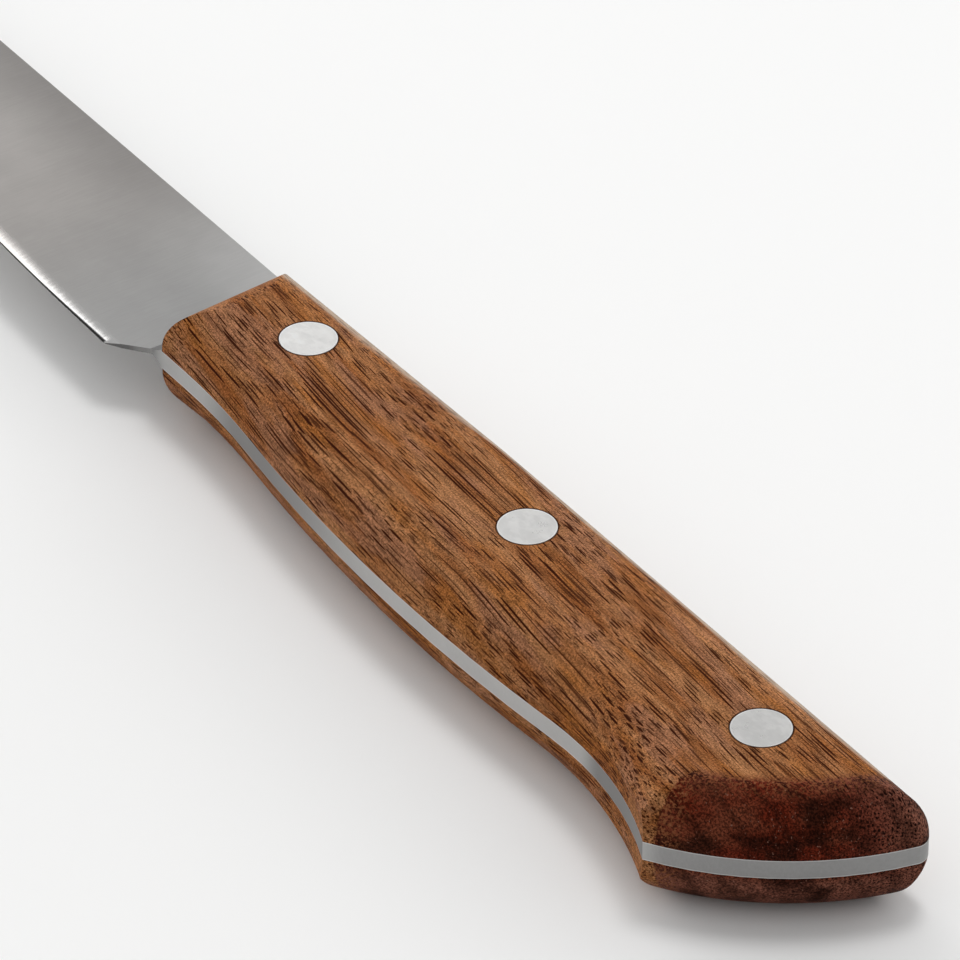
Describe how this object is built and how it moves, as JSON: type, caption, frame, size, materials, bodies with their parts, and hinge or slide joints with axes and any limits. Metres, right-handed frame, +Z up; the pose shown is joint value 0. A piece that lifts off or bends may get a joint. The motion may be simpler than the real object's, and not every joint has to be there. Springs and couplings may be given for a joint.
{
  "type": "steak knife",
  "caption": "Full-tang steak knife with a straight-spined, drop-pointed blade and rounded wooden scales riveted to a tang that shows all round the handle.",
  "frame": {"origin": "middle of the box of the knife lying on its side, on the surface that it lies on", "axes": "+X from the tip to the butt, +Y from the edge to the spine, +Z up, through the thickness of the handle"},
  "size_m": [0.2268, 0.0232, 0.0132],
  "materials": {
    "blade_steel": "satin ground, edge bevel polished",
    "wood_scale": "oiled walnut, sanded smooth, open pores",
    "rivet_metal": "satin, sanded flush with the wood"
  },
  "bodies": {
    "root": {"blade": "blade_steel", "upper_scale": "wood_scale", "lower_scale": "wood_scale", "front_rivet_post": "rivet_metal", "front_rivet_sleeve": "rivet_metal", "middle_rivet_post": "rivet_metal", "middle_rivet_sleeve": "rivet_metal", "rear_rivet_post": "rivet_metal", "rear_rivet_sleeve": "rivet_metal"}
  },
  "joints": []
}
